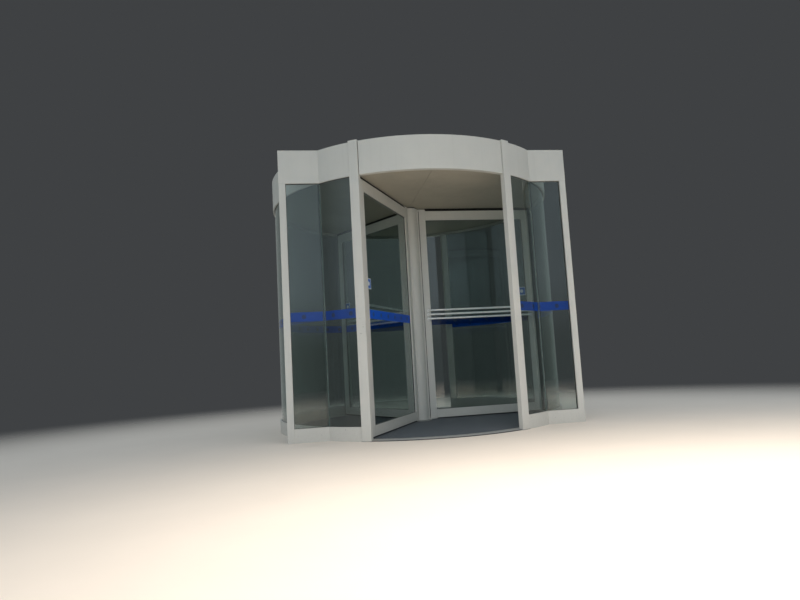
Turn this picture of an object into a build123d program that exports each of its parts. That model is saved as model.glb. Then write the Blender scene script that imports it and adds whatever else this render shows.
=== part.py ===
from build123d import *
import math
import os

# Three-wing revolving door: a glazed drum with a canopy, two flat sidelights and a turning rotor.
# Millimetres, +Z up, the floor at Z 0, the rotor's axis on Z. The street side faces -Y.
# Angles are in degrees, counter-clockwise from +X seen from above.

# Drum and canopy
DRUM_R = 1542.5  # outer face of the curved wall and of the canopy
WALL_T = 50.0  # depth of the rails that hold the curved glass
CLEAR_H = 2400.0  # clear height under the canopy
CANOPY_H = 320.0
KICK_H = 126.0
GLASS_T = 12.0
SHEET_T = 4.0
TOP_FLANGE = 60.0
CEILING_LIP = 35.0  # the ceiling lies this far above the canopy's lower edge
CEILING_T = 12.0
CEILING_PANELS = 2
CEILING_SEAM = 3.0
SEAM_ANGLE = -90.0  # direction of the first ceiling seam
ROOF_T = 3.0
ROOF_SEAM = 4.0
ROOF_HOLE_R = 4.0  # where the dust cover's quarters meet
ROOF_PANELS = 4
ROOF_ANGLE = 0.0  # direction of the first joint in the dust cover
EDGE = 2.0  # small chamfer on the rails' long edges

# Glazing
GASKET_T = 3.0  # rubber on each face of the glass in its groove
POCKET = 16.0  # depth of a glazing groove
PANE_GAP = 6.0  # silicone joint between two panes
SEAT = 0.3  # play where curved or set pieces meet

# Doorways
PASSAGE_W = 1386.0  # clear width between the posts
POST_W = 90.0
POST_D = 50.0
POST_PROUD = 12.0  # the posts stand this far out of the drum
POST_RISE = 10.0  # and this far above the canopy
POST_ROUND = 3.0
REVEAL = 6.0  # open joint between a post and the canopy over the doorway

# Flat sidelights
SCREEN_SETBACK = 409.5  # their outer face behind the foremost point of the drum
SCREEN_T = 50.0
SIDELIGHT_W = 312.0
JAMB_W = 63.0

# Floor
RING_W = 60.0
RING_T = 8.0
MAT_T = 6.0
MAT_GAP = 1.0
THRESHOLD_SLOPE = 20.0
BEARING_R = 130.0
BEARING_T = 10.0
BEARING_FLOOR = 3.0

# Rotor
WING_NAMES = ("a", "b", "c")
REST_ANGLE = -118.5  # direction of the first wing as the rotor stands
COLUMN_R = 95.0
COLUMN_FOOT = 14.0
COLUMN_TOP_GAP = 15.0  # between the column and the ceiling
LUG_W = 24.0
LUG_GAP = 20.0  # shadow gap between the column and a hinge stile
WING_T = 45.0
HINGE_STILE_W = 75.0
OUTER_STILE_W = 83.0
WING_FOOT = 24.0
TOP_RAIL_H = 108.0
BOTTOM_RAIL_TOP = 116.0
WING_GLASS_T = 10.0
BRUSH_T = 10.0
BRUSH_REACH = 35.0  # from the outer stile to the brush tips at the wall
RUNNING_GAP = 5.5  # brush tips to floor, wall and ceiling
WING_ROUND = 3.0
FOOT_SPINDLE_R = 30.0
HEAD_SPINDLE_R = 45.0
HEAD_SPINDLE_L = 140.0
PIN_PLAY = 0.5
CEILING_HOLE_PLAY = 8.0

# Push bars
BAR_R = 10.5
BAR_STANDOFF = 46.0  # tube axis to the face of the wing
BAR_PITCH = 48.5
BAR_MID_Z = 1186.5
BAR_BEND_R = 24.0
BEND_SECTIONS = 5  # circles that a bend is drawn through
BAR_INSET = 45.0  # tube end to the inner edge of its stile, on the hinge side
BAR_OUTER_INSET = 28.0
ROSETTE_R = 17.0
ROSETTE_T = 4.0

# Drive over the ceiling
BEAM_H = 100.0
BEAM_W = 60.0
BEAM_SPAN_Y = 360.0  # distance between the two beams
HOUSING_L = 420.0
HOUSING_H = 150.0

# Sizes that follow from those above
INNER_R = DRUM_R - WALL_T
GLASS_R = DRUM_R - WALL_T / 2
CANOPY_TOP = CLEAR_H + CANOPY_H
CEILING_Z = CLEAR_H + CEILING_LIP
GROOVE_W = GLASS_T + 2 * GASKET_T
PANE_FOOT = KICK_H - POCKET + SEAT
PANE_HEAD = CLEAR_H + POCKET - SEAT
POST_FACE_R = DRUM_R + POST_PROUD
POST_BACK_R = POST_FACE_R - POST_D
CEILING_R = POST_BACK_R - SEAT
POST_ANGLE = math.degrees(
    math.asin(PASSAGE_W / 2 / math.hypot(POST_FACE_R, POST_W / 2)) + math.atan2(POST_W / 2, POST_FACE_R)
)
SCREEN_Y = DRUM_R - SCREEN_SETBACK
SCREEN_JOINT_X = math.sqrt(DRUM_R**2 - SCREEN_Y**2)
SCREEN_GLASS_Y = SCREEN_Y - SCREEN_T / 2
JAMB_X = SCREEN_JOINT_X + SIDELIGHT_W
FRONT = -90.0
REAR = 90.0
# Angles measured from the doorway's middle, on the plan
JOINT_ANGLE = math.degrees(math.atan2(SCREEN_JOINT_X, SCREEN_Y))
PANE_ANGLE = math.degrees(math.acos(SCREEN_GLASS_Y / GLASS_R))
REAR_POST_ANGLE = 180.0 - POST_ANGLE
REAR_PANE_ANGLE = (PANE_ANGLE + REAR_POST_ANGLE) / 2
STILE_R = COLUMN_R + LUG_GAP
WING_R = INNER_R - RUNNING_GAP - BRUSH_REACH
STILE_OUT_R = STILE_R + HINGE_STILE_W
OUTER_STILE_R = WING_R - OUTER_STILE_W
COLUMN_TOP = CEILING_Z - COLUMN_TOP_GAP
WING_HEAD = CLEAR_H
TOP_RAIL_Z = WING_HEAD - TOP_RAIL_H
POST_TOP = CANOPY_TOP + POST_RISE
WINGS = [(name, REST_ANGLE + index * 360.0 / len(WING_NAMES)) for index, name in enumerate(WING_NAMES)]


def ring_section(points, start, end):
    """A profile of (radius, height) points turned about the rotor's axis from one angle to another."""
    section = Plane.XZ * make_face(Polyline(*points, close=True))
    return Rot(0, 0, start) * revolve(section, Axis.Z, end - start)


def block(x0, x1, y0, y1, z0, z1):
    """A box given by its faces."""
    return Pos((x0 + x1) / 2, (y0 + y1) / 2, (z0 + z1) / 2) * Box(x1 - x0, y1 - y0, z1 - z0)


def disc(radius, z0, z1):
    """A round plate on the axis."""
    return Pos(0, 0, (z0 + z1) / 2) * Cylinder(radius, z1 - z0)


def post_block(angle, grow=0.0):
    """The space of a doorway post at a plan angle, wider by grow on each side."""
    half = POST_W / 2 + grow
    return Rot(0, 0, angle) * block(POST_BACK_R - grow, POST_FACE_R + grow, -half, half, 0, POST_TOP)


def mirrored(shape):
    """The same piece on the other side of the YZ plane."""
    return mirror(shape, Plane.YZ)


POST_ANGLES = {
    "front_right": FRONT + POST_ANGLE,
    "front_left": FRONT - POST_ANGLE,
    "rear_right": REAR - POST_ANGLE,
    "rear_left": REAR + POST_ANGLE,
}
os.makedirs("parts", exist_ok=True)


def save(name, shape):
    """Writes one sub-part."""
    export_step(shape, f"parts/{name}.step")


# Doorway posts: square tubes set radially, with softly rounded corners
for side, angle in POST_ANGLES.items():
    post = block(POST_BACK_R, POST_FACE_R, -POST_W / 2, POST_W / 2, 0, POST_TOP)
    post = fillet(post.edges().filter_by(Axis.Z), POST_ROUND)
    save(f"post_{side}", Rot(0, 0, angle) * post)

right_posts = post_block(POST_ANGLES["front_right"]) + post_block(POST_ANGLES["rear_right"])


def rail_profile(foot, head, groove_up):
    """Section of a curved rail with the glazing groove in its upper or lower face."""
    low, high = GLASS_R - GROOVE_W / 2, GLASS_R + GROOVE_W / 2
    if groove_up:
        return [
            (INNER_R, foot),
            (DRUM_R, foot),
            (DRUM_R, head - EDGE),
            (DRUM_R - EDGE, head),
            (high, head),
            (high, head - POCKET),
            (low, head - POCKET),
            (low, head),
            (INNER_R + EDGE, head),
            (INNER_R, head - EDGE),
        ]
    return [
        (INNER_R, foot),
        (low, foot),
        (low, foot + POCKET),
        (high, foot + POCKET),
        (high, foot),
        (DRUM_R, foot),
    ]


# Curved kick rails, from the front post to the flat sidelight and on to the rear post
kick = rail_profile(0, KICK_H, True)
kick_front = ring_section(kick, FRONT + POST_ANGLE, FRONT + JOINT_ANGLE) - right_posts
kick_side = ring_section(kick, FRONT + JOINT_ANGLE, FRONT + REAR_POST_ANGLE) - right_posts
save("kick_front_right", kick_front)
save("kick_front_left", mirrored(kick_front))
save("kick_side_right", kick_side)
save("kick_side_left", mirrored(kick_side))

# Curved panes of laminated glass, standing in the kick rail and held by the canopy
pane_gap_angle = math.degrees(PANE_GAP / GLASS_R)
post_play = post_block(POST_ANGLES["front_right"], SEAT) + post_block(POST_ANGLES["rear_right"], SEAT)
pane = [
    (GLASS_R - GLASS_T / 2, PANE_FOOT),
    (GLASS_R + GLASS_T / 2, PANE_FOOT),
    (GLASS_R + GLASS_T / 2, PANE_HEAD),
    (GLASS_R - GLASS_T / 2, PANE_HEAD),
]
pane_bounds = (
    ("front", POST_ANGLE, PANE_ANGLE),
    ("mid", PANE_ANGLE, REAR_PANE_ANGLE),
    ("rear", REAR_PANE_ANGLE, REAR_POST_ANGLE),
)
for name, start, end in pane_bounds:
    first = start + (pane_gap_angle / 2 if name != "front" else 0)
    last = end - (pane_gap_angle / 2 if name != "rear" else 0)
    glass = ring_section(pane, FRONT + first, FRONT + last) - post_play
    save(f"glass_{name}_right", glass)
    save(f"glass_{name}_left", mirrored(glass))

# Canopy: a rolled channel whose lower member carries the ceiling, and over the walls the glass
skin = [
    (DRUM_R, CANOPY_TOP),
    (DRUM_R - TOP_FLANGE, CANOPY_TOP),
    (DRUM_R - TOP_FLANGE, CANOPY_TOP - SHEET_T),
    (DRUM_R - SHEET_T, CANOPY_TOP - SHEET_T),
    (DRUM_R - SHEET_T, CEILING_Z),
    (INNER_R, CEILING_Z),
]
canopy_grooved = rail_profile(CLEAR_H, CEILING_Z, False) + skin
canopy_plain = [(INNER_R, CLEAR_H), (DRUM_R, CLEAR_H)] + skin
fascia_side = ring_section(canopy_grooved, FRONT + JOINT_ANGLE, FRONT + REAR_POST_ANGLE) - right_posts
fascia_corner = ring_section(canopy_grooved, FRONT + POST_ANGLE, FRONT + JOINT_ANGLE) - right_posts
save("fascia_side_right", fascia_side)
save("fascia_side_left", mirrored(fascia_side))
save("fascia_front_right", fascia_corner)
save("fascia_front_left", mirrored(fascia_corner))
fascia_front = ring_section(canopy_plain, FRONT - POST_ANGLE, FRONT + POST_ANGLE)
for side in ("front_right", "front_left"):
    fascia_front -= post_block(POST_ANGLES[side], REVEAL)
save("fascia_front", fascia_front)
save("fascia_rear", Rot(0, 0, REAR - FRONT) * fascia_front)


def sector_plates(radius, hole, z0, z1, count, seam, first_angle):
    """A round plate cut by straight seams into equal sectors, each a separate solid."""
    plate = disc(radius, z0, z1) - disc(hole, z0, z1)
    for index in range(count):
        cut = block(0, radius + seam, -seam / 2, seam / 2, z0, z1)
        plate -= Rot(0, 0, first_angle + index * 360.0 / count) * cut
    return plate


# Ceiling panels and dust cover, lying on the canopy's members
ceiling_hole = HEAD_SPINDLE_R + CEILING_HOLE_PLAY
ceiling_top = CEILING_Z + CEILING_T
ceiling = sector_plates(
    CEILING_R, ceiling_hole, CEILING_Z, ceiling_top, CEILING_PANELS, CEILING_SEAM, SEAM_ANGLE
)
save("ceiling", ceiling)
roof_top = CANOPY_TOP + ROOF_T
roof = sector_plates(CEILING_R, ROOF_HOLE_R, CANOPY_TOP, roof_top, ROOF_PANELS, ROOF_SEAM, ROOF_ANGLE)
save("roof_cover", roof)

# Drive and head bearing between two beams that lie across the drum over the ceiling
beam_y = BEAM_SPAN_Y / 2
beam_x = math.sqrt((CEILING_R - 2 * SEAT) ** 2 - (beam_y + BEAM_W / 2) ** 2)
drive = block(-HOUSING_L / 2, HOUSING_L / 2, -beam_y, beam_y, ceiling_top, ceiling_top + HOUSING_H)
for sign in (-1, 1):
    mid = sign * beam_y
    drive += block(-beam_x, beam_x, mid - BEAM_W / 2, mid + BEAM_W / 2, ceiling_top, ceiling_top + BEAM_H)
head_bore = COLUMN_TOP + HEAD_SPINDLE_L + PIN_PLAY
drive -= disc(HEAD_SPINDLE_R + PIN_PLAY, ceiling_top, head_bore)
save("drive_unit", drive)

# Flat sidelights: header, pane, kick rail and jamb, butted to the curved wall
drum_core = disc(DRUM_R + SEAT, 0, CANOPY_TOP)
glass_core = disc(GLASS_R + GLASS_T / 2 + PANE_GAP, 0, CANOPY_TOP)
outer_x = JAMB_X + JAMB_W
front_y, back_y = -SCREEN_Y, -SCREEN_Y + SCREEN_T
groove_y0, groove_y1 = -SCREEN_GLASS_Y - GROOVE_W / 2, -SCREEN_GLASS_Y + GROOVE_W / 2
header = block(SCREEN_JOINT_X - SCREEN_T, outer_x, front_y, back_y, CLEAR_H, CANOPY_TOP) - drum_core
header -= block(0, JAMB_X + POCKET, groove_y0, groove_y1, CLEAR_H, CLEAR_H + POCKET)
side_kick = block(SCREEN_JOINT_X - SCREEN_T, JAMB_X, front_y, back_y, 0, KICK_H)
side_kick = chamfer(side_kick.edges().filter_by(Axis.X).group_by(Axis.Z)[-1], EDGE) - drum_core
side_kick -= block(0, JAMB_X, groove_y0, groove_y1, KICK_H - POCKET, KICK_H)
jamb = block(JAMB_X, outer_x, front_y, back_y, 0, CLEAR_H)
jamb = fillet(jamb.edges().filter_by(Axis.Z), POST_ROUND)
jamb -= block(JAMB_X, JAMB_X + POCKET, groove_y0, groove_y1, KICK_H - POCKET, CLEAR_H)
side_glass = block(
    SCREEN_JOINT_X - SCREEN_T,
    JAMB_X + POCKET - SEAT,
    -SCREEN_GLASS_Y - GLASS_T / 2,
    -SCREEN_GLASS_Y + GLASS_T / 2,
    PANE_FOOT,
    PANE_HEAD,
)
side_glass -= glass_core
side_glass -= disc(DRUM_R + SEAT, 0, KICK_H + SEAT)
side_glass -= disc(DRUM_R + SEAT, CLEAR_H - SEAT, CANOPY_TOP)
sidelight = {"header": header, "side_kick": side_kick, "jamb": jamb, "side_glass": side_glass}
for name, shape in sidelight.items():
    save(f"{name}_right", shape)
    save(f"{name}_left", mirrored(shape))

# Floor: ring along the wall's foot, mat, and bevelled threshold strips in the doorways
ring_r = INNER_R - SEAT
mat_r = ring_r - RING_W
save("floor_ring", disc(ring_r, 0, RING_T) - disc(mat_r, 0, RING_T))
save("floor_mat", disc(mat_r - MAT_GAP, 0, MAT_T) - disc(BEARING_R + SEAT, 0, MAT_T))
threshold = [(INNER_R, 0), (DRUM_R, 0), (DRUM_R - THRESHOLD_SLOPE, RING_T), (INNER_R, RING_T)]
strips = []
for middle, sides in ((FRONT, ("front_right", "front_left")), (REAR, ("rear_right", "rear_left"))):
    strip = ring_section(threshold, middle - POST_ANGLE, middle + POST_ANGLE)
    for side in sides:
        strip -= post_block(POST_ANGLES[side], SEAT)
    strips.append(strip)
save("thresholds", Compound(children=strips))
foot_bearing = disc(BEARING_R, 0, BEARING_T)
foot_bearing = chamfer(foot_bearing.edges().group_by(Axis.Z)[-1], EDGE)
save("floor_bearing", foot_bearing - disc(FOOT_SPINDLE_R + PIN_PLAY, BEARING_FLOOR, BEARING_T))

# Centre column: a round extrusion with three lugs that carry the wings, and a spindle at each end
column = disc(COLUMN_R, COLUMN_FOOT, COLUMN_TOP)
for _, angle in WINGS:
    column += Rot(0, 0, angle) * block(0, STILE_R, -LUG_W / 2, LUG_W / 2, COLUMN_FOOT, COLUMN_TOP)
column += disc(FOOT_SPINDLE_R, BEARING_FLOOR + SEAT, COLUMN_FOOT)
column += disc(HEAD_SPINDLE_R, COLUMN_TOP, COLUMN_TOP + HEAD_SPINDLE_L)
save("centre_column", column)


def wing_frame():
    """Stiles and rails of a wing lying along +X, with a glazing groove round the opening."""
    half = WING_T / 2
    frame = block(STILE_R, STILE_OUT_R, -half, half, COLUMN_FOOT, COLUMN_TOP)
    frame = fillet(frame.edges().filter_by(Axis.Z), WING_ROUND)
    outer = block(OUTER_STILE_R, WING_R, -half, half, WING_FOOT, WING_HEAD)
    frame += fillet(outer.edges().filter_by(Axis.Z).group_by(Axis.X)[-1], WING_ROUND)
    lap = WING_ROUND
    frame += block(STILE_OUT_R - lap, OUTER_STILE_R, -half, half, WING_FOOT, BOTTOM_RAIL_TOP)
    frame += block(STILE_OUT_R - lap, OUTER_STILE_R, -half, half, TOP_RAIL_Z, WING_HEAD)
    groove = WING_GLASS_T / 2 + GASKET_T
    groove_z0, groove_z1 = BOTTOM_RAIL_TOP - POCKET, TOP_RAIL_Z + POCKET
    return frame - block(STILE_OUT_R - POCKET, OUTER_STILE_R + POCKET, -groove, groove, groove_z0, groove_z1)


def wing_pane():
    """The glass of a wing, with its edges in the frame's groove."""
    edge = POCKET - SEAT
    half = WING_GLASS_T / 2
    foot, head = BOTTOM_RAIL_TOP - edge, TOP_RAIL_Z + edge
    return block(STILE_OUT_R - edge, OUTER_STILE_R + edge, -half, half, foot, head)


def tube_bend(x, turn, z):
    """A quarter bend of a push bar, from square to the wing at x round to the bar's run; turn is 1 or -1."""
    centre_x, centre_y = x + turn * BAR_BEND_R, BAR_BEND_R - BAR_STANDOFF - WING_T / 2
    sections = []
    for step in range(BEND_SECTIONS):
        angle = math.radians(90.0 * step / (BEND_SECTIONS - 1))
        along, square = math.sin(angle), math.cos(angle)
        origin = (centre_x - turn * BAR_BEND_R * square, centre_y - BAR_BEND_R * along, z)
        plane = Plane(origin=origin, x_dir=(0, 0, 1), z_dir=(turn * along, -square, 0))
        sections.append(plane * Circle(BAR_R))
    return loft(sections)


def rod(radius, length):
    """A round rod that stands on its own plane."""
    return Cylinder(radius, length, align=(Align.CENTER, Align.CENTER, Align.MIN))


def wing_bars():
    """Three bent tubes on the wing's pushing face, each ending in a rosette on a stile."""
    face = -WING_T / 2
    start, end = STILE_OUT_R - HINGE_STILE_W + BAR_INSET, OUTER_STILE_R + BAR_OUTER_INSET
    foot = rod(ROSETTE_R, ROSETTE_T) + rod(BAR_R, BAR_STANDOFF - BAR_BEND_R)
    bars = []
    for step in (-1, 0, 1):
        z = BAR_MID_Z + step * BAR_PITCH
        run_start = (start + BAR_BEND_R, face - BAR_STANDOFF, z)
        bar = Plane(origin=run_start, z_dir=(1, 0, 0)) * rod(BAR_R, end - start - 2 * BAR_BEND_R)
        for x, turn in ((start, 1), (end, -1)):
            bar += tube_bend(x, turn, z)
            bar += Plane(origin=(x, face, z), z_dir=(0, -1, 0)) * foot
        bars.append(bar)
    return Compound(children=bars)


def wing_brushes():
    """Brush strips along the head, the foot and the outer edge of a wing."""
    half = BRUSH_T / 2
    head_z, foot_z = CEILING_Z - RUNNING_GAP, RING_T + RUNNING_GAP
    head = block(STILE_OUT_R + SEAT, WING_R - SEAT, -half, half, WING_HEAD, head_z)
    foot = block(STILE_OUT_R + SEAT, WING_R - SEAT, -half, half, foot_z, WING_FOOT)
    edge = block(WING_R, INNER_R - RUNNING_GAP, -half, half, foot_z, head_z)
    return [head, foot, edge]


frame_shape, pane_shape, bars_shape, brush_shapes = wing_frame(), wing_pane(), wing_bars(), wing_brushes()
panes, brushes = [], []
for name, angle in WINGS:
    turn = Rot(0, 0, angle)
    save(f"wing_frame_{name}", turn * frame_shape)
    save(f"push_bars_{name}", turn * bars_shape)
    panes.append(turn * pane_shape)
    brushes += [turn * brush for brush in brush_shapes]
save("wing_glass", Compound(children=panes))
save("brush_seals", Compound(children=brushes))
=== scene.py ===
import math

import bmesh
import bpy
import numpy as np
from mathutils import Matrix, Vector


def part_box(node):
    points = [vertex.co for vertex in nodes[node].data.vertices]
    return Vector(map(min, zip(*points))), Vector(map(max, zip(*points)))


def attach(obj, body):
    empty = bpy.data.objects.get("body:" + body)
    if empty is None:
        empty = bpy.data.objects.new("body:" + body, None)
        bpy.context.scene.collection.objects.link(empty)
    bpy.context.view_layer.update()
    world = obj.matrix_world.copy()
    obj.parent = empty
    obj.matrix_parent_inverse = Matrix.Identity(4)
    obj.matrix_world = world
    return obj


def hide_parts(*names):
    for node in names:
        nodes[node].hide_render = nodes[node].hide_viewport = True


# Revolving door: the finish and the small fittings of its pieces, in the order it is put together.
# Metres, +Z up, the floor at Z 0, the rotor's axis on Z, the street side at -Y.
# Plan angles are in radians, measured from the street side and growing towards +X.
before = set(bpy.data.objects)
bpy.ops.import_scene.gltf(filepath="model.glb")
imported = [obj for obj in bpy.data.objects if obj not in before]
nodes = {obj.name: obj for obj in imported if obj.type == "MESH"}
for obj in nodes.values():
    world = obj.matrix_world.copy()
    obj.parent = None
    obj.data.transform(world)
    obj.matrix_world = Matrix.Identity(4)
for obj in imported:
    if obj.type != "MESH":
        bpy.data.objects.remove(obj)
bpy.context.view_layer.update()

# Floor ring, thresholds and bearing plate: mill-finish aluminium let into the floor, turned to the
# drum's circle and held down by countersunk screws. The thresholds have fine anti-slip ridges, and a
# black rubber nosing along the foot of their slope.
UP = np.array([0.0, 0.0, 1.0])
ROLL_STEP = math.radians(1.5)
SHARP_ANGLE = math.radians(35)
RING_SCREWS = 24
RING_SCREW_R = 0.0055
RING_DOME = 0.1  # a head's height as a share of its radius
PLATE_DOME = 0.2
PLATE_SCREWS = 6
PLATE_SCREW_OUT = 0.86  # share of the plate's radius
RIDGE_W = 0.0026
RIDGE_H = 0.0010
RIDGE_PITCH = 0.0052
NOSING_W = 0.012
NOSING_H = 0.005
NOSING_BACK = 0.0001
NOSING_LEAN = 0.0008


def points_of(name):
    """The points of a CAD node, one in each row."""
    mesh = nodes[name].data
    flat = np.empty(len(mesh.vertices) * 3)
    mesh.vertices.foreach_get("co", flat)
    return flat.reshape(-1, 3)


def radii(name):
    """The smallest and the largest distance of a node's points from the rotor's axis."""
    reach = np.hypot(*points_of(name)[:, :2].T)
    return reach.min(), reach.max()


def plan_angles(name):
    """The smallest and the largest plan angle of a node's points."""
    x, y, _ = points_of(name).T
    angles = np.arctan2(x, -y)
    return angles.min(), angles.max()


def outward(angle):
    """Unit steps away from the axis at plan angles: (sin, -cos, 0)."""
    angle = np.asarray(angle, float)
    return np.stack([np.sin(angle), -np.cos(angle), np.zeros_like(angle)], -1)


def sideways(angle):
    """Unit steps along the wall, towards growing plan angles: (cos, sin, 0)."""
    angle = np.asarray(angle, float)
    return np.stack([np.cos(angle), np.sin(angle), np.zeros_like(angle)], -1)


def ring_faces(stations, corners, closed=False):
    """Faces for rings of points one after another: quads join neighbouring rings, from each corner to the
    next. An open run gets its first and its last ring as end faces; a closed one joins those two."""
    total = stations * corners
    first = np.arange(stations if closed else stations - 1)[:, None] * corners
    here = first + np.arange(corners)
    beside = first + (np.arange(corners) + 1) % corners
    quads = np.stack([here, beside, (beside + corners) % total, (here + corners) % total], -1)
    ends = [] if closed else [list(range(corners)), list(range(total - corners, total))]
    return quads.reshape(-1, 4).tolist() + ends


def carried(profile, origins, across, rise, closed=False):
    """A closed profile of (u, v) pairs carried along a path: point = origin + u * across + v * rise."""
    profile = np.asarray(profile, float)
    origins, across, rise = np.broadcast_arrays(np.atleast_2d(origins), across, rise)
    points = origins[:, None] + profile[:, :1] * across[:, None] + profile[:, 1:] * rise[:, None]
    return points.reshape(-1, 3), ring_faces(*points.shape[:2], closed)


def rolled(profile, start, end):
    """A profile of (radius, height) pairs carried round the axis from one plan angle to another."""
    angles = np.linspace(start, end, max(2, math.ceil(abs(end - start) / ROLL_STEP) + 1))
    return carried(profile, np.zeros(3), outward(angles), UP)


def joined(shapes):
    """Several shapes as one: the face numbers of each move past the points of those before it."""
    starts = np.cumsum([0] + [len(points) for points, _ in shapes])
    faces = [[int(start) + i for i in face] for start, (_, own) in zip(starts, shapes) for face in own]
    return np.concatenate([points for points, _ in shapes]), faces


def mirrored(shape):
    """The same shape on the other side of the YZ plane."""
    return shape[0] * (-1.0, 1.0, 1.0), shape[1]


def placed(name, data):
    """Puts a mesh, lamp or camera into the scene."""
    item = bpy.data.objects.new(name, data)
    bpy.context.scene.collection.objects.link(item)
    return item


def made(name, shapes, body, finish, lengthwise=None):
    """Makes a piece of shapes, turns its faces outwards, and hangs it on its body. lengthwise gives each
    point its (along, height) on the piece in metres, which becomes the UV map that a pattern follows."""
    points, faces = joined(shapes)
    mesh = bpy.data.meshes.new(name)
    mesh.from_pydata(points.tolist(), [], faces)
    work = bmesh.new()
    work.from_mesh(mesh)
    bmesh.ops.recalc_face_normals(work, faces=work.faces)
    work.to_mesh(mesh)
    work.free()
    mesh.shade_smooth()
    mesh.set_sharp_from_angle(angle=SHARP_ANGLE)
    if lengthwise is not None:
        corners = np.empty(len(mesh.loops), int)
        mesh.loops.foreach_get("vertex_index", corners)
        spots = lengthwise[corners].astype(np.float32)
        mesh.uv_layers.new(name="along").data.foreach_set("uv", spots.ravel())
    mesh.materials.append(finish)
    piece = placed(name, mesh)
    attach(piece, body)
    return piece


def screw_heads(places, facing, radius, dome):
    """Screw heads with a hexagon socket. Rings of (radius, height) run over the dome and down into the
    socket. The socket's ring is a hexagon: its radius is over the cosine of the angle to its flat."""
    places, facing = np.broadcast_arrays(np.atleast_2d(places), facing)
    aside = np.cross(facing, np.where(np.abs(facing[:, 2:]) > 0.9, (1.0, 0.0, 0.0), UP))
    aside = aside / np.linalg.norm(aside, axis=1, keepdims=True)
    upward = np.cross(facing, aside)
    sides = 12
    turn = np.arange(sides) * 2 * np.pi / sides
    hexagon = np.cos(np.pi / 6) / np.cos(turn % (np.pi / 3) - np.pi / 6)
    steps = ((1.0, -0.1, 0), (1.0, 0.3, 0), (0.86, 0.8, 0), (0.62, 1.0, 0), (0.46, 1.0, 1), (0.46, -0.6, 1))
    reach = np.array([radius * r * (hexagon if socket else 1.0 + 0.0 * turn) for r, _, socket in steps])
    height = radius * dome * np.array([h for _, h, _ in steps])
    local = np.stack([reach * np.cos(turn), reach * np.sin(turn), height[:, None] + 0.0 * turn], -1)
    axes = np.stack([aside, upward, facing], 1)
    points = places[:, None, None] + np.einsum("rsk,nkx->nrsx", local, axes)
    head = ring_faces(len(steps), sides)
    return joined([(own, head) for own in points.reshape(len(places), -1, 3)])


def screw_circle(count, reach, height, radius, dome, first=0.0):
    """Screw heads spread evenly round the axis on a face that looks up; first is a share of one step."""
    turns = (np.arange(count) + first) * 2 * np.pi / count
    return screw_heads(outward(turns) * reach + UP * height, UP, radius, dome)


def add(tree, kind, *values, out=0, options=None, **named):
    """Adds a shader node, sets its options, then its inputs by place or by name, and gives one output."""
    item = tree.nodes.new("ShaderNode" + kind)
    for option, value in (options or {}).items():
        setattr(item, option, value)
    by_name = [(name.replace("_", " "), value) for name, value in named.items()]
    for key, value in list(enumerate(values)) + by_name:
        socket = item.inputs[key]
        if isinstance(value, bpy.types.NodeSocket):
            tree.links.new(value, socket)
        elif value is not None:
            socket.default_value = (*value, 1.0) if socket.type == "RGBA" and len(value) == 3 else value
    return item.outputs[out]


def sums(tree, operation, *values):
    """One step of arithmetic on numbers that change over the surface."""
    return add(tree, "Math", *values, options={"operation": operation})


def vectors(tree, operation, *values, out=0):
    """One step of arithmetic on vectors that change over the surface."""
    return add(tree, "VectorMath", *values, out=out, options={"operation": operation})


def parts(tree, vector):
    """The three numbers of a vector that changes over the surface."""
    return [add(tree, "SeparateXYZ", vector, out=label) for label in "XYZ"]


def distance(tree, first, second):
    """How far a point lies from the middle: the root of the sum of its two squared numbers."""
    squares = [sums(tree, "MULTIPLY", value, value) for value in (first, second)]
    return sums(tree, "SQRT", sums(tree, "ADD", *squares))


def noise(tree, place, scale, detail, roughness=0.5, drawn=None):
    """Cloudy noise. Where drawn is given, the place is multiplied by it first, which draws the clouds out
    along the axes with small numbers."""
    if drawn is not None:
        place = vectors(tree, "MULTIPLY", place, drawn)
    return add(tree, "TexNoise", Vector=place, Scale=scale, Detail=detail, Roughness=roughness)


def bump(tree, relief, strength, depth):
    """The normal of a skin whose relief goes up and down by a depth in metres."""
    return add(tree, "Bump", Strength=strength, Distance=depth, Height=relief)


def between(tree, value, low, high, to_low=0.0, to_high=1.0):
    """Moves a value's range from low..high to another one, smoothly and without running past it."""
    options = {"interpolation_type": "SMOOTHSTEP"}
    return add(tree, "MapRange", value, low, high, to_low, to_high, options=options)


def tinted(tree, share, first, second):
    """Mixes the second colour over the first one by a share."""
    item = add(tree, "Mix", share, options={"data_type": "RGBA"}, out=2).node
    for key, value in ((6, first), (7, second)):
        if isinstance(value, bpy.types.NodeSocket):
            tree.links.new(value, item.inputs[key])
        else:
            item.inputs[key].default_value = (*value, 1.0)
    return item.outputs[2]


def clouded(grain, first, second, share, rough=None, relief=None):
    """A look whose two colours, and where given its roughness and relief, follow one cloudy noise. grain is
    the noise's scale, detail and roughness; share and rough are ranges to move it to."""

    def varied(tree, place):
        cloud = noise(tree, place, *grain)
        look = {"Base Color": tinted(tree, between(tree, cloud, *share), first, second)}
        if rough:
            look["Roughness"] = between(tree, cloud, *rough)
        if relief:
            look["Normal"] = bump(tree, cloud, *relief)
        return look

    return varied


def effect(name, inputs, build):
    """A shader node group with named inputs and outputs, built once for several materials."""
    tree = bpy.data.node_groups.new(name, "ShaderNodeTree")
    for label, value in inputs.items():
        kind = "NodeSocketVector" if value is None else "NodeSocketFloat"
        socket = tree.interface.new_socket(label, in_out="INPUT", socket_type=kind)
        if value is not None:
            socket.default_value = value
    start = tree.nodes.new("NodeGroupInput")
    end = tree.nodes.new("NodeGroupOutput")
    for label, value in build(tree, start.outputs).items():
        tree.interface.new_socket(label, in_out="OUTPUT", socket_type="NodeSocketFloat")
        tree.links.new(value, end.inputs[label])
    return tree


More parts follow.
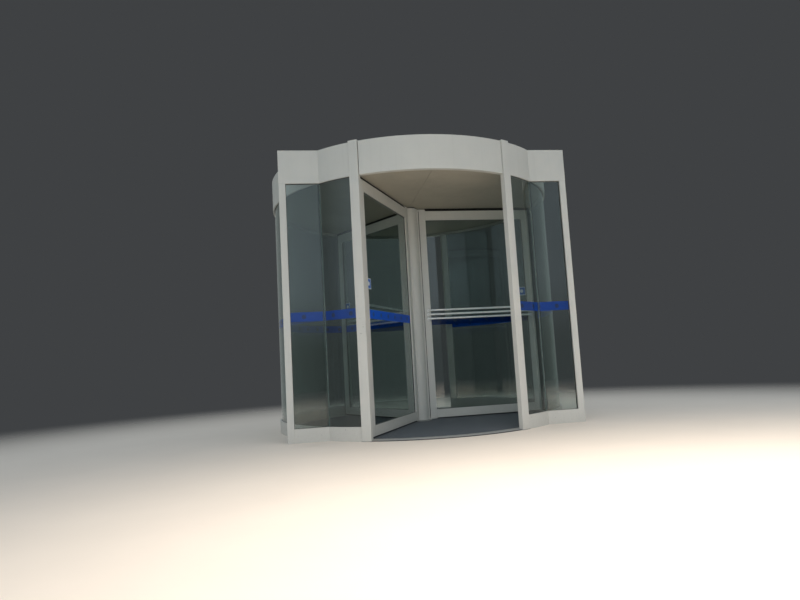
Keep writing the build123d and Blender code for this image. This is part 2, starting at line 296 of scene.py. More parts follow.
def with_effect(tree, group, **inputs):
    """Places an effect in a material and gives its outputs by name."""
    return add(tree, "Group", options={"node_tree": group}, **inputs).node.outputs


def surface(name, varied, **plain):
    """A material on the Principled shader. varied adds the nodes of what changes over the surface and
    gives it by the shader's input names; plain values are set on the shader itself."""
    finish = bpy.data.materials.new(name)
    finish.use_nodes = True
    tree = finish.node_tree
    shader = tree.nodes["Principled BSDF"]
    place = add(tree, "TexCoord", out="Object")
    for key, value in {**plain, **varied(tree, place)}.items():
        socket = shader.inputs[key.replace("_", " ")]
        if isinstance(value, bpy.types.NodeSocket):
            tree.links.new(value, socket)
        else:
            socket.default_value = value
    return finish


def dress(finish, *names):
    """Gives CAD nodes their material."""
    for name in names:
        for place in nodes[name].material_slots:
            place.material = finish


def brushing_nodes(tree, start):
    """Fine scratches that run along X: noise that is drawn out fifty times in that direction."""
    drawn = vectors(tree, "MULTIPLY", start["Place"], (0.02, 1.0, 1.0))
    fine = vectors(tree, "SCALE", drawn)
    tree.links.new(start["Fineness"], fine.node.inputs["Scale"])
    lines = noise(tree, fine, 1.0, 3.0, 0.6)
    broad = noise(tree, start["Place"], 9.0, 3.0)
    return {"Lines": lines, "Broad": broad}


brushing = effect("brushing", {"Place": None, "Fineness": 900.0}, brushing_nodes)


def weather_nodes(tree, start):
    """Wear that gathers on a door outdoors: dust that thins out above the foot, faint streaks that run
    down the faces, and a soft cloudiness of the finish."""
    place = start["Place"]
    height = add(tree, "SeparateXYZ", place, out="Z")
    cloud = noise(tree, place, 3.1, 5.0, 0.62)
    grit = noise(tree, place, 46.0, 4.0, 0.7)
    runs = noise(tree, place, 1.0, 2.0, drawn=(38.0, 38.0, 0.9))
    level = sums(tree, "DIVIDE", height, start["Foot"])
    low = between(tree, sums(tree, "ADD", level, sums(tree, "MULTIPLY", cloud, 0.5)), 0.1, 1.25, 1.0, 0.0)
    dust = sums(tree, "MULTIPLY", low, between(tree, grit, 0.3, 0.75, 0.35, 1.0))
    return {"Dust": dust, "Streaks": between(tree, runs, 0.52, 0.74), "Cloud": cloud, "Grit": grit}


weather = effect("weather", {"Place": None, "Foot": 0.2}, weather_nodes)


def turned_metal(tree, place):
    """Aluminium brushed round the axis: the scratches follow the plan angle, and trodden dust dulls it."""
    x, y, z = parts(tree, place)
    round_about = sums(tree, "MULTIPLY", sums(tree, "ARCTAN2", y, x), 1.4)
    polar = add(tree, "CombineXYZ", round_about, distance(tree, x, y), z)
    scratch = with_effect(tree, brushing, Place=polar, Fineness=1300.0)
    trodden = noise(tree, place, 14.0, 5.0, 0.7)
    bare = tinted(tree, between(tree, scratch["Lines"], 0.3, 0.7), (0.50, 0.50, 0.49), (0.66, 0.66, 0.64))
    dusty = between(tree, trodden, 0.38, 0.72, 0.25, 0.7)
    rough = sums(tree, "ADD", 0.28, sums(tree, "MULTIPLY", scratch["Lines"], 0.16))
    return {
        "Base Color": tinted(tree, dusty, bare, (0.44, 0.42, 0.385)),
        "Roughness": sums(tree, "ADD", rough, sums(tree, "MULTIPLY", dusty, 0.4)),
        "Metallic": sums(tree, "SUBTRACT", 1.0, dusty),
        "Normal": bump(tree, scratch["Lines"], 0.25, 0.0004),
    }


def in_doorways(profile):
    """A profile rolled across each of the two doorways, from post to post."""
    return [rolled(profile, middle - clear_angle, middle + clear_angle) for middle in (0.0, math.pi)]


# Black glazing rubber is slightly dusty on its matt skin. The steel of small heads is dulled by dirt.
rubber_look = clouded(
    (70.0, 4.0), (0.012, 0.012, 0.013), (0.07, 0.07, 0.065), share=(0.4, 0.8, 0.0, 0.5), relief=(0.3, 0.0003)
)
steel_look = clouded(
    (240.0, 3.0), (0.50, 0.50, 0.49), (0.20, 0.19, 0.18), share=(0.35, 0.75), rough=(0.3, 0.7, 0.28, 0.55)
)
floor_metal = surface("floor_metal", turned_metal)
rubber = surface("rubber", rubber_look, Roughness=0.62)
screw_steel = surface("screw_steel", steel_look, Metallic=1.0)
dress(floor_metal, "floor_ring", "thresholds", "floor_bearing")

ring_in, ring_out = radii("floor_ring")
ring_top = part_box("floor_ring")[1].z
ring_heads = screw_circle(RING_SCREWS, (ring_in + ring_out) / 2, ring_top, RING_SCREW_R, RING_DOME)
plate_out, plate_top = radii("floor_bearing")[1] * PLATE_SCREW_OUT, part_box("floor_bearing")[1].z
plate_heads = screw_circle(PLATE_SCREWS, plate_out, plate_top, RING_SCREW_R, PLATE_DOME)
made("floor_screws", [ring_heads, plate_heads], "drum", screw_steel)

post_points = points_of("post_front_right")
post_angle = math.atan2(post_points[:, 0].mean(), -post_points[:, 1].mean())
post_half = np.abs(post_points @ sideways(post_angle)).max()
post_back, post_face = (f(post_points @ outward(post_angle)) for f in (np.min, np.max))
clear_angle = np.arctan2(post_points[:, 0], -post_points[:, 1]).min()
tread_in, tread_top = radii("thresholds")[0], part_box("thresholds")[1].z
tread_out = points_of("thresholds")
tread_out = np.hypot(*tread_out[tread_out[:, 2] > tread_top / 2, :2].T).max()
ridge = [(-0.5, -0.2), (0.5, -0.2), (0.28, 1.0), (-0.28, 1.0)]
ridges = []
for row in np.arange(tread_in + RIDGE_PITCH, tread_out - RIDGE_W, RIDGE_PITCH):
    ridges += in_doorways([(row + u * RIDGE_W, tread_top + v * RIDGE_H) for u, v in ridge])
made("threshold_ridges", ridges, "drum", floor_metal)
tread_foot = radii("thresholds")[1] - NOSING_BACK
nosing = [(-NOSING_W, 0.0), (0.0, 0.0), (-NOSING_LEAN, NOSING_H), (-NOSING_W, NOSING_H)]
nosing = [(tread_foot + u, v) for u, v in nosing]
made("threshold_nosings", in_doorways(nosing), "drum", rubber)

# Entrance mat: charcoal ribbed textile in a thin frame, cut to the ring's circle and round the bearing
# plate. The ribs run across the doorway, so that shoes are wiped on the way in.
RIB_PITCH = 0.0125
RIB_W = 0.0075
RIB_RISE = 0.0016


def mat_look(tree, place):
    """Charcoal yarn in two greys, with the fleck of single fibres and a little pale dust trodden in."""
    yarn = noise(tree, place, 420.0, 4.0, drawn=(1.0, 2.2, 1.0))
    dust = noise(tree, place, 2.3, 6.0, 0.7)
    cloth = tinted(tree, between(tree, yarn, 0.34, 0.68), (0.019, 0.026, 0.033), (0.074, 0.094, 0.114))
    trodden = between(tree, dust, 0.45, 0.8, 0.0, 0.22)
    return {
        "Base Color": tinted(tree, trodden, cloth, (0.17, 0.165, 0.155)),
        "Normal": bump(tree, yarn, 0.9, 0.0008),
    }


mat_cloth = surface("mat_cloth", mat_look, Roughness=0.93, Sheen_Weight=0.25)
dress(mat_cloth, "floor_mat")
mat_in, mat_out = radii("floor_mat")
mat_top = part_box("floor_mat")[1].z
rib_rows = np.arange(-mat_out + RIB_PITCH, mat_out - RIB_PITCH / 2, RIB_PITCH)
rib = [(-0.5, -0.3), (0.5, -0.3), (0.44, 0.55), (0.2, 1.0), (-0.2, 1.0), (-0.44, 0.55)]
rib_profile = [(u * RIB_W, v * RIB_RISE) for u, v in rib]
ribs = []
for row in rib_rows:
    edge = abs(row) + RIB_W / 2
    reach = math.sqrt(mat_out**2 - edge**2)
    hole = math.sqrt(max(mat_in**2 - max(abs(row) - RIB_W / 2, 0) ** 2, 0.0))
    for start, end in ([(-reach, -hole), (hole, reach)] if hole else [(-reach, reach)]):
        ends = np.array([[start, row, mat_top], [end, row, mat_top]])
        ribs.append(carried(rib_profile, ends, (0.0, 1.0, 0.0), UP))
made("mat_ribs", ribs, "drum", mat_cloth)

# Doorway posts: powder-coated aluminium tubes set radially, sealed to the floor with a bead and to the
# curved glass with black rubber. Hands and luggage scuff them at the passage side.
COAT = (0.60, 0.595, 0.56)
SEALANT_W = 0.004
SEALANT_LAP = 0.001
# The seal's profile: how far off the pane, and where across the post, as a share of half its width.
POST_SEAL = ((-0.0006, 0.9), (0.0032, 0.995), (0.0028, 1.05), (-0.0006, 1.1))


def coat_look(tree, place, scuffed=False):
    """Satin silver-grey powder coat: the skin's orange peel, faint runs of dirt and dust at the foot. On
    the posts, short dark scuffs sit between knee and hand height."""
    worn = with_effect(tree, weather, Place=place, Foot=0.22)
    peel = noise(tree, place, 520.0, 2.0)
    shade = between(tree, worn["Cloud"], 0.3, 0.7)
    colour = tinted(tree, shade, tuple(0.96 * part for part in COAT), COAT)
    colour = tinted(tree, sums(tree, "MULTIPLY", worn["Streaks"], 0.05), colour, (0.33, 0.32, 0.29))
    colour = tinted(tree, sums(tree, "MULTIPLY", worn["Dust"], 0.34), colour, (0.42, 0.38, 0.32))
    if scuffed:
        height = add(tree, "SeparateXYZ", place, out="Z")
        over_knee = between(tree, height, 0.35, 0.8)
        under_chest = between(tree, height, 1.0, 1.5, 1.0, 0.0)
        hands = sums(tree, "MULTIPLY", over_knee, under_chest)
        patch = noise(tree, place, 26.0, 3.0, drawn=(1.0, 1.0, 3.5))
        marks = sums(tree, "MULTIPLY", hands, between(tree, patch, 0.66, 0.72, 0.0, 0.6))
        colour = tinted(tree, marks, colour, (0.10, 0.10, 0.10))
    return {
        "Base Color": colour,
        "Roughness": sums(tree, "ADD", 0.40, sums(tree, "MULTIPLY", worn["Grit"], 0.16)),
        "Normal": bump(tree, peel, 0.16, 0.0005),
    }


# Grey sealant is smoothed with a finger, with dirt in its ripples.
sealant_look = clouded(
    (60.0, 3.0), (0.13, 0.13, 0.125), (0.24, 0.235, 0.22), share=(0.35, 0.7), relief=(0.5, 0.0008)
)
coat = surface("coat", coat_look)
post_coat = surface("post_coat", lambda tree, place: coat_look(tree, place, scuffed=True))
sealant = surface("sealant", sealant_look, Roughness=0.45)
POSTS = {
    "post_front_right": post_angle,
    "post_front_left": -post_angle,
    "post_rear_right": math.pi - post_angle,
    "post_rear_left": post_angle - math.pi,
}
dress(post_coat, *POSTS)

glass_in, glass_out = radii("glass_front_right")
kick_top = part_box("kick_front_right")[1].z
canopy_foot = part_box("fascia_front_right")[0].z
WALL_FACES = ((glass_out, 1.0), (glass_in, -1.0))
hollow = (SEALANT_W * 0.62, SEALANT_W * 0.45)
bead = [(-SEALANT_LAP, 0.0), (SEALANT_W, 0.0), hollow, (-SEALANT_LAP, SEALANT_W)]
beads, post_seals = [], []
for angle in POSTS.values():
    away, along = outward(angle), sideways(angle)
    corners = ((post_back, -1, -1), (post_face, 1, -1), (post_face, 1, 1), (post_back, -1, 1))
    origins = np.array([away * reach + along * side * post_half for reach, _, side in corners])
    across = np.array([away * out + along * side for _, out, side in corners])
    beads.append(carried(bead, origins, across, UP, closed=True))
    wall_side = math.copysign(1.0, angle) * (1.0 if abs(angle) < math.pi / 2 else -1.0)
    for face, lean in WALL_FACES:
        foot = math.sqrt(face**2 - post_half**2)
        lip = [(foot + lean * off, wall_side * post_half * share) for off, share in POST_SEAL]
        post_seals.append(carried(lip, np.array([UP * kick_top, UP * canopy_foot]), away, along))
made("post_sealant", beads, "drum", sealant)
made("post_rubbers", post_seals, "drum", rubber)

# Curved kick rails: aluminium channel rolled to the wall's circle. Black rubber wedges hold the glass in
# the groove from both sides, and a screw by each post ties the rail to it.
GROOVE = 0.003
WEDGE_RISE = 0.0028
KICK_SCREW_R = 0.0050
RAIL_DOME = 0.16
KICK_SCREW_Z = 0.101
KICK_SCREW_TURNS = (-36.0, 31.6)  # plan angles in degrees
SCREW_SUNK = 0.0004

dress(coat, "kick_front_left", "kick_front_right", "kick_side_left", "kick_side_right")
wall_start = post_angle + math.asin(post_half / glass_out)
wall_end = math.pi - wall_start


def wedge(face, lean, mouth, up):
    """Rubber in the slot between a pane's face and the rail: the slot's width, and a lip that leans on the
    glass. lean is the way from the glass to the rail, and up the way out of the groove."""
    steps = ((-0.06, -2.5), (1.05, -2.5), (1.05, 0.05), (0.8, 0.5), (0.3, 0.95), (-0.06, 1.0))
    return [(face + lean * GROOVE * u, mouth + up * WEDGE_RISE * v) for u, v in steps]


def both_walls(shape):
    """A shape of the right-hand wall and its mirror image."""
    return [shape, mirrored(shape)]


kick_wedges, canopy_wedges = [], []
for face, lean in WALL_FACES:
    kick_wedges += both_walls(rolled(wedge(face, lean, kick_top, 1.0), wall_start, wall_end))
    canopy_wedges += both_walls(rolled(wedge(face, lean, canopy_foot, -1.0), wall_start, wall_end))
made("kick_rubbers", kick_wedges, "drum", rubber)
drum_r = radii("kick_front_right")[1]
screw_turns = np.radians([*KICK_SCREW_TURNS, *(180.0 - turn for turn in KICK_SCREW_TURNS)])
screw_places = outward(screw_turns) * (drum_r - SCREW_SUNK) + UP * KICK_SCREW_Z
kick_heads = screw_heads(screw_places, outward(screw_turns), KICK_SCREW_R, RAIL_DOME)
made("kick_screws", [kick_heads], "drum", screw_steel)

# Curved panes: clear laminated glass, bent, greenish at its cut edges. Silicone fills the joints between
# panes. A blue film band with plain dots runs round at chest height, so that people see the glass.
BAND_FOOT = 1.096
BAND_HEAD = 1.182
FILM_T = 0.0004
FILM_SUNK = FILM_T / 4
FILM_GAP = 0.002
DOT_PITCH = 0.190
DOT_R = 0.021
DOT_EDGE = 0.0008
JOINT_HOLLOW = 0.0006
JOINT_LAP = 1.02  # share of the gap's width, so that the joint meets both panes
JOINT_INSET = 0.0008
JOINT_SHORT = 0.001


def glass_look(edge_mask):
    """The look of one kind of pane. Its faces carry a grey-green tint much darker than clear glass, which
    partly paints the shade of the dim space seen through them; its cut edges are deep green, and dried
    rain and hands leave thin smears that only dull the reflection."""

    def varied(tree, place):
        edge = edge_mask(tree, place)
        smears = noise(tree, place, 2.6, 6.0, drawn=(3.0, 3.0, 0.8))
        worn = with_effect(tree, weather, Place=place, Foot=0.45)
        haze = between(tree, smears, 0.5, 0.8, 0.0, 0.05)
        haze = sums(tree, "ADD", haze, sums(tree, "MULTIPLY", worn["Dust"], 0.06))
        # The faces' tint is partly the glass's own green and partly painted shade.
        face = tinted(tree, between(tree, smears, 0.3, 0.7), (0.50, 0.575, 0.555), (0.54, 0.61, 0.59))
        return {
            "Base Color": tinted(tree, edge, face, (0.03, 0.20, 0.13)),
            "Roughness": sums(tree, "ADD", haze, sums(tree, "MULTIPLY", edge, 0.35)),
        }

    return varied


def thinned(finish, share, tint):
    """Lets a material's shader give way to clear tinted air, by a share that changes with place or ray."""
    tree = finish.node_tree
    shader, output = tree.nodes["Principled BSDF"], tree.nodes["Material Output"]
    mixed = add(tree, "MixShader", share(tree), shader.outputs[0], add(tree, "BsdfTransparent", tint))
    tree.links.new(mixed, output.inputs["Surface"])
    return finish


def pane(name, edge_mask):
    """Glass that lets lamps through: for shadow rays its shader gives way to a clear tint."""
    finish = surface(name, glass_look(edge_mask), Transmission_Weight=1.0, IOR=1.5)
    return thinned(finish, lambda tree: add(tree, "LightPath", out="Is Shadow Ray"), (0.93, 0.96, 0.95))


def at_axis(tree, place):
    """How squarely a surface looks at the rotor's axis or away from it, from 0 to 1."""
    ray = vectors(tree, "NORMALIZE", vectors(tree, "MULTIPLY", place, (1.0, 1.0, 0.0)))
    facing = vectors(tree, "DOT_PRODUCT", add(tree, "TexCoord", out="Normal"), ray, out="Value")
    return sums(tree, "ABSOLUTE", facing)


def off_radius(tree, place):
    """Edges of a bent pane: its faces look straight at or away from the axis, its edges don't."""
    return sums(tree, "LESS_THAN", at_axis(tree, place), 0.7)


def off_street(tree, place):
    """Edges of a flat sidelight: its faces look along Y, its edges don't."""
    facing = add(tree, "SeparateXYZ", add(tree, "TexCoord", out="Normal"), out="Y")
    return sums(tree, "LESS_THAN", sums(tree, "ABSOLUTE", facing), 0.7)


def along_radius(tree, place):
    """Edges of a wing's pane: they look along the wing or up and down, its faces don't."""
    upright = sums(tree, "ABSOLUTE", add(tree, "SeparateXYZ", add(tree, "TexCoord", out="Normal"), out="Z"))
    return sums(tree, "GREATER_THAN", sums(tree, "MAXIMUM", at_axis(tree, place), upright), 0.5)


def band_look(tree, place, depth=1.0):
    """Blue film with a row of plain dark dots at half its height, set out along the UV map in metres.
    A depth below one darkens the film's blue, which paints shade on it."""
    along, height, _ = parts(tree, add(tree, "TexCoord", out="UV"))
    step = sums(tree, "SUBTRACT", sums(tree, "FRACT", sums(tree, "DIVIDE", along, DOT_PITCH)), 0.5)
    aside = sums(tree, "MULTIPLY", step, DOT_PITCH)
    aloft = sums(tree, "SUBTRACT", height, (BAND_FOOT + BAND_HEAD) / 2)
    dot = between(tree, distance(tree, aside, aloft), DOT_R - DOT_EDGE, DOT_R + DOT_EDGE, 1.0, 0.0)
    fade = noise(tree, place, 6.0, 4.0)
    blues = [tuple(depth * part for part in blue) for blue in ((0.003, 0.080, 0.50), (0.006, 0.095, 0.58))]
    blue = tinted(tree, between(tree, fade, 0.3, 0.7), *blues)
    return {
        "Base Color": tinted(tree, sums(tree, "MULTIPLY", dot, 0.8), blue, (0.035, 0.06, 0.13)),
        "Roughness": between(tree, fade, 0.3, 0.7, 0.30, 0.42),
    }


def rectangle(left, right, low, high):
    """The four corners of an upright rectangle, as (u, v) pairs that go round it."""
    return [(left, low), (right, low), (right, high), (left, high)]


# Milky silicone is faintly green from the panes beside it, tooled hollow, with a little dust.
silicone_look = clouded(
    (32.0, 4.0), (0.20, 0.25, 0.235), (0.24, 0.28, 0.265), share=(0.4, 0.75), rough=(0.4, 0.75, 0.22, 0.4)
)
bent_glass = pane("bent_glass", off_radius)
silicone = surface("silicone", silicone_look, Alpha=0.22)
band_film = surface("band_film", band_look, Specular_IOR_Level=0.1)
WALL_PANES = [f"glass_{place}_right" for place in ("front", "mid", "rear")]
dress(bent_glass, *WALL_PANES, *(name.replace("right", "left") for name in WALL_PANES))

pane_foot, pane_head = (corner.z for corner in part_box("glass_front_right"))
pane_spans = [plan_angles(name) for name in WALL_PANES]
glass_mid = (glass_in + glass_out) / 2
joint_half = (pane_spans[1][0] - pane_spans[0][1]) / 2 * glass_mid
joint_depth = (glass_out - glass_in) / 2 - JOINT_HOLLOW
waist = [(-1, -1), (-0.72, 0), (-1, 1), (1, 1), (0.72, 0), (1, -1)]
butt = [(glass_mid + u * joint_depth, v * joint_half * JOINT_LAP) for u, v in waist]
wall_joints = []
for before, after in zip(pane_spans, pane_spans[1:]):
    middle = (before[1] + after[0]) / 2
    ends = np.array([UP * (pane_foot + JOINT_SHORT), UP * (pane_head - JOINT_SHORT)])
    wall_joints += both_walls(carried(butt, ends, outward(middle), sideways(middle)))
side_points = points_of("side_glass_right")
side_front, side_back = side_points[:, 1].min(), side_points[:, 1].max()
side_start = np.hypot(*side_points[:, :2].T).min()
tongue_in, tongue_out = glass_out - JOINT_INSET, side_start + JOINT_INSET
tongue = rectangle(tongue_in, tongue_out, side_front + JOINT_INSET, side_back - JOINT_INSET)
tongue = [(math.sqrt(reach**2 - y**2), y) for reach, y in tongue]
ends = np.array([UP * (kick_top + JOINT_SHORT), UP * (canopy_foot - JOINT_SHORT)])
wall_joints += both_walls(carried(tongue, ends, (1.0, 0.0, 0.0), (0.0, 1.0, 0.0)))
made("glass_joints", wall_joints, "drum", silicone)

film = rectangle(glass_in - FILM_T, glass_in + FILM_SUNK, BAND_FOOT, BAND_HEAD)
film_cut = (joint_half + FILM_GAP) / glass_mid
span_starts = [wall_start + film_cut / 2] + [start + FILM_GAP / glass_mid for start, _ in pane_spans[1:]]
span_ends = [end - FILM_GAP / glass_mid for _, end in pane_spans[:-1]] + [wall_end - film_cut / 2]
wall_bands = []
for start, end in zip(span_starts, span_ends):
    wall_bands += both_walls(rolled(film, start, end))
band_shape = joined(wall_bands)
band_x, band_y, band_z = band_shape[0].T
band_along = np.stack([np.abs(np.arctan2(band_x, -band_y)) * glass_in, band_z], -1)
made("wall_band", [band_shape], "drum", band_film, lengthwise=band_along)

# Canopy: a band of folded and rolled aluminium sheet, coated like the posts, with two ceiling panels laid
# on its lower member and a screwed dust cover on top. The drive stands out of sight between them.
ROOF_SCREWS = 48
ROOF_SCREW_R = 0.0055
ROOF_DOME = 0.24
ROOF_SCREW_INSET = 0.011
ROOF_SCREW_SUNK = 0.0002
CEILING_BEAD_W = 0.0032
CEILING_BEAD_LAP = 0.0003
CEILING_BEAD_RISE = 0.0002
CEILING_BEAD_STEPS = 240


def ceiling_look(tree, place):
    """Matt warm-white paint on board: a fine roller texture and faint clouds of dirt."""
    roller = noise(tree, place, 260.0, 3.0)
    cloud = between(tree, noise(tree, place, 1.7, 5.0, 0.65), 0.35, 0.75)
    return {
        "Base Color": tinted(tree, cloud, (0.430, 0.404, 0.332), (0.368, 0.344, 0.280)),
        "Roughness": between(tree, roller, 0.3, 0.7, 0.6, 0.75),
        "Normal": bump(tree, roller, 0.2, 0.0006),
    }


def machine_look(tree, place):
    """Grey machine paint, thick enough to round the edges, with a mist of dust on top."""
    worn = with_effect(tree, weather, Place=place, Foot=0.2)
    peel = noise(tree, place, 240.0, 2.0)
    misted = between(tree, worn["Cloud"], 0.4, 0.75)
    return {
        "Base Color": tinted(tree, misted, (0.10, 0.115, 0.13), (0.17, 0.175, 0.18)),
        "Roughness": between(tree, worn["Grit"], 0.3, 0.7, 0.38, 0.62),
        "Normal": bump(tree, peel, 0.3, 0.001),
    }


ceiling_board = surface("ceiling_board", ceiling_look)
machine_paint = surface("machine_paint", machine_look)
FASCIAS = [f"fascia_{place}_{side}" for place in ("front", "side") for side in ("left", "right")]
dress(coat, "fascia_front", "fascia_rear", "roof_cover", *FASCIAS)
dress(ceiling_board, "ceiling")
dress(machine_paint, "drive_unit")
made("canopy_rubbers", canopy_wedges, "drum", rubber)

member_in = radii("fascia_side_right")[0]
ceiling_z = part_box("ceiling")[0].z
hollow = (-CEILING_BEAD_W * 0.45, -CEILING_BEAD_W * 0.45)
cove = [(CEILING_BEAD_LAP, CEILING_BEAD_RISE), (-CEILING_BEAD_W, CEILING_BEAD_RISE)]
cove += [hollow, (CEILING_BEAD_LAP, -CEILING_BEAD_W)]
cove = [(member_in + u, ceiling_z + v) for u, v in cove]
round_about = np.linspace(-math.pi, math.pi, CEILING_BEAD_STEPS, endpoint=False)
ceiling_bead = carried(cove, np.zeros(3), outward(round_about), UP, closed=True)
made("ceiling_bead", [ceiling_bead], "drum", sealant)

roof_out = radii("roof_cover")[1] - ROOF_SCREW_INSET
roof_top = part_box("roof_cover")[1].z - ROOF_SCREW_SUNK
roof_heads = screw_circle(ROOF_SCREWS, roof_out, roof_top, ROOF_SCREW_R, ROOF_DOME, first=0.5)
made("roof_screws", [roof_heads], "drum", screw_steel)

# Flat sidelights: a pane in a kick rail, header and jamb of the same coated profiles, wedged with black
# rubber. The blue band goes on across them. Butt joints between the profiles show as hairlines.
LINE_W = 0.0006
LINE_PROUD = 0.00012
LINE_SHORT = 0.003
LINE_BELOW = 0.002
SIDE_SCREW_R = KICK_SCREW_R * 0.8
SIDE_SCREW_Z = 0.060
SIDE_SCREW_BY_JAMB = 0.03
SIDE_SCREW_BY_WALL = 0.05

flat_glass = pane("flat_glass", off_street)
SIDES = ("left", "right")
dress(flat_glass, *(f"side_glass_{side}" for side in SIDES))
dress(coat, *(f"{name}_{side}" for name in ("header", "side_kick", "jamb") for side in SIDES))
# A hairline is the shadow and dirt in a closed joint.
hairline_look = clouded((90.0, 3.0), (0.06, 0.058, 0.054), (0.16, 0.155, 0.145), share=(0.3, 0.7))
hairline = surface("hairline", hairline_look, Roughness=0.9)
jamb_in, jamb_out = (corner.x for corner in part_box("jamb_right"))
screen_front, screen_back = (corner.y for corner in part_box("jamb_right"))
wall_x = math.sqrt(drum_r**2 - max(abs(side_front), abs(side_back)) ** 2)
corners = np.array([(x, 0.0, z) for x, z in rectangle(wall_x, jamb_in, kick_top, canopy_foot)])
inward = np.array([[0, 0, 1], [-1, 0, 1], [-1, 0, -1], [0, 0, -1]], float)
side_rubbers = []
for face, lean in ((side_front, -1.0), (side_back, 1.0)):
    turned = [(rise, y) for y, rise in wedge(face, lean, 0.0, 1.0)]
    side_rubbers += both_walls(carried(turned, corners, inward, (0.0, 1.0, 0.0)))
made("sidelight_rubbers", side_rubbers, "drum", rubber)

screw_xs = jamb_in - SIDE_SCREW_BY_JAMB, wall_x + SIDE_SCREW_BY_WALL
screw_xs = [sign * x for x in screw_xs for sign in (-1, 1)]
side_places = np.array([(x, screen_front + SCREW_SUNK, SIDE_SCREW_Z) for x in screw_xs])
side_heads = screw_heads(side_places, (0.0, -1.0, 0.0), SIDE_SCREW_R, RAIL_DOME)
made("sidelight_screws", [side_heads], "drum", screw_steel)

film_start, film_end = math.sqrt(glass_out**2 - side_back**2) + FILM_T, jamb_in - FILM_GAP
side_film = rectangle(film_start, film_end, BAND_FOOT, BAND_HEAD)
film_ends = np.array([[0.0, side_back - FILM_SUNK, 0.0], [0.0, side_back + FILM_T, 0.0]])
side_band = joined(both_walls(carried(side_film, film_ends, (1.0, 0.0, 0.0), UP)))
side_along = np.abs(side_band[0][:, [0, 2]])
made("sidelight_band", [side_band], "drum", band_film, lengthwise=side_along)


def upright_line(place, away, aside, low, high):
    """A hairline up a joint: a flat strip along the height, laid on the face that away points out of."""
    strip = rectangle(-LINE_PROUD, LINE_PROUD, -LINE_W / 2, LINE_W / 2)
    return carried(strip, np.array([place + UP * low, place + UP * high]), away, aside)


joint_turn = plan_angles("kick_front_right")[1]
away, aside = outward(joint_turn), sideways(joint_turn)
wall_lines = []
for low, high in ((ring_top, kick_top - LINE_BELOW), (canopy_foot, ceiling_z)):
    wall_lines += both_walls(upright_line(away * member_in, away, aside, low, high))
level = rectangle(-LINE_W / 2, LINE_W / 2, -LINE_PROUD, LINE_PROUD)
for y in (screen_front, screen_back):
    ends = np.array([[jamb_in + LINE_SHORT, y, canopy_foot], [jamb_out - LINE_SHORT, y, canopy_foot]])
    wall_lines += both_walls(carried(level, ends, UP, (0.0, 1.0, 0.0)))
made("wall_joint_lines", wall_lines, "drum", hairline)

# Centre column: a round extrusion of the same coated aluminium that carries the three wings by lugs. A
# ring of black nylon brush closes the gap between its head and the ceiling.
RING_BRUSH_R = 0.0895
RING_BRUSH_H = 0.0095
RING_BRUSH_T = 0.009
TUFTS = 360
TUFT_SWAY = 0.0012
TUFT_WAVER = 0.0006

# Black nylon hair is matt, with a dull shine on single hairs and grey lint between them.
lint = {"share": (0.5, 0.8, 0.0, 0.4), "rough": (0.3, 0.7, 0.5, 0.85)}
nylon = surface("nylon", clouded((130.0, 5.0, 0.7), (0.004, 0.004, 0.0045), (0.045, 0.044, 0.04), **lint))
dress(coat, "centre_column")
column_top = sorted(set(np.round(points_of("centre_column")[:, 2], 4)))[-2]
tuft_turn = np.linspace(0, 2 * np.pi, TUFTS, endpoint=False)
sway = np.sin(tuft_turn * 97.0) * 0.5 + np.sin(tuft_turn * 61.0 + 1.3) * 0.5
brush_ring = [(-0.5, 0.0), (-0.5, 0.72), (-0.36, 1.0), (0.0, 0.94), (0.36, 1.0), (0.5, 0.72), (0.5, 0.0)]
brush_ring = [(u * RING_BRUSH_T, v) for u, v in brush_ring]
ring_points, brush_faces = carried(brush_ring, np.zeros(3), outward(tuft_turn), UP, closed=True)
tuft_rise = np.repeat(RING_BRUSH_H + TUFT_SWAY * sway, len(brush_ring))[:, None]
point_turn = np.repeat(tuft_turn, len(brush_ring))
point_reach = RING_BRUSH_R + TUFT_WAVER * np.sin(point_turn * 143.0)[:, None]
lifted = UP * (column_top + ring_points[:, 2:] * tuft_rise)
ring_points = ring_points * (1.0, 1.0, 0.0) + outward(point_turn) * point_reach + lifted
made("column_brush", [(ring_points, brush_faces)], "rotor", nylon)

# Wing frames: stiles and rails of coated aluminium, mitre-free and butted, each round a pane held by
# black rubber from both faces. Black rubber lips on the hinge stiles narrow the gaps beside the column,
# and their dark colour also paints the shade in those gaps.
GAP_SHADE_LIP = 0.0055
GAP_SHADE_LIP_T = 0.003
GAP_SHADE_LIP_LAP = 0.0004
WING_ANGLES = {}
for letter in "abc":
    x, y, _ = points_of(f"wing_frame_{letter}").T
    WING_ANGLES[letter] = math.atan2(x.mean(), -y.mean())
dress(coat, *(f"wing_frame_{letter}" for letter in WING_ANGLES))


def wing_axes(angle):
    """A wing's own directions: along it away from the column, and square to its face, the way it turns."""
    return outward(angle), sideways(angle)


frame_points = points_of("wing_frame_a") @ np.array([*wing_axes(WING_ANGLES["a"]), UP]).T
half_wing = np.abs(frame_points[:, 1]).max()
pane_points = points_of("wing_glass")
pane_reach = np.hypot(*pane_points[:, :2].T)
groove_depth = kick_top - pane_foot
opening_in, opening_out = pane_reach.min() + groove_depth, pane_reach.max() - groove_depth
opening_low, opening_high = pane_points[:, 2].min() + groove_depth, pane_points[:, 2].max() - groove_depth
half_pane = np.abs(frame_points[:, 1]).min() - GROOVE
opening = rectangle(opening_in, opening_out, opening_low, opening_high)
opening_ways = rectangle(1, -1, 1, -1)
outer_stile_z = frame_points[frame_points[:, 0] > opening_out, 2]
wing_foot, wing_head = outer_stile_z.min(), outer_stile_z.max()
stile_start = frame_points[:, 0].min()
shade_lip_side = half_wing - 2 * GAP_SHADE_LIP_T
